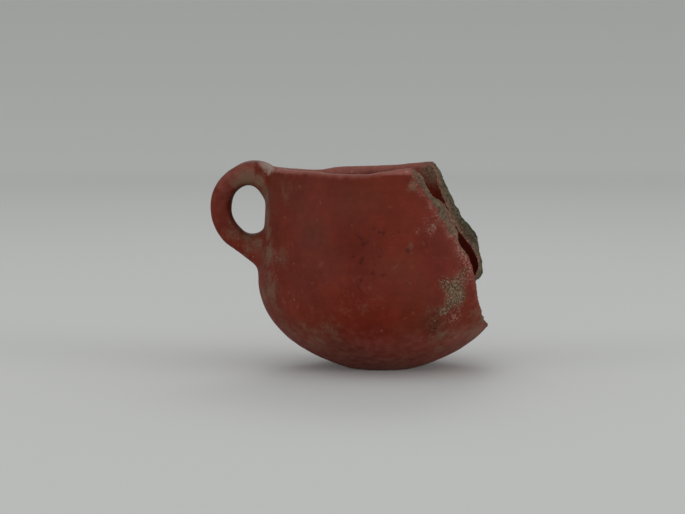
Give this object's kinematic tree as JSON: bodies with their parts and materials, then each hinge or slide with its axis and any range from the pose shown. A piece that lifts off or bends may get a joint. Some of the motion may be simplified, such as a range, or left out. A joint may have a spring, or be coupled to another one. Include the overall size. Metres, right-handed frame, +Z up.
{
  "type": "clay cup",
  "caption": "Small round-bottomed red-slipped clay cup with a rolled loop handle at the rim, broken out on the side away from the handle.",
  "frame": {"origin": "middle of the flattened spot under the bowl, on the surface that the cup stands on", "axes": "+Z up along the bowl's axis; -X towards the handle and +X towards the broken-out side; -Y is the side seen when the handle is at the left"},
  "size_m": [0.0858, 0.0766, 0.0641],
  "materials": {
    "slipped_bowl": "burnished red slip, semi-matt, flaked along the break",
    "slipped_handle": "worn red slip, semi-matt",
    "worn_luting": "bare clay with the slip worn off, matt",
    "slipped_luting": "worn red slip, semi-matt"
  },
  "bodies": {
    "root": {"cup_body": "slipped_bowl", "handle": "slipped_handle", "upper_luting": "worn_luting", "lower_luting": "slipped_luting"}
  },
  "joints": []
}
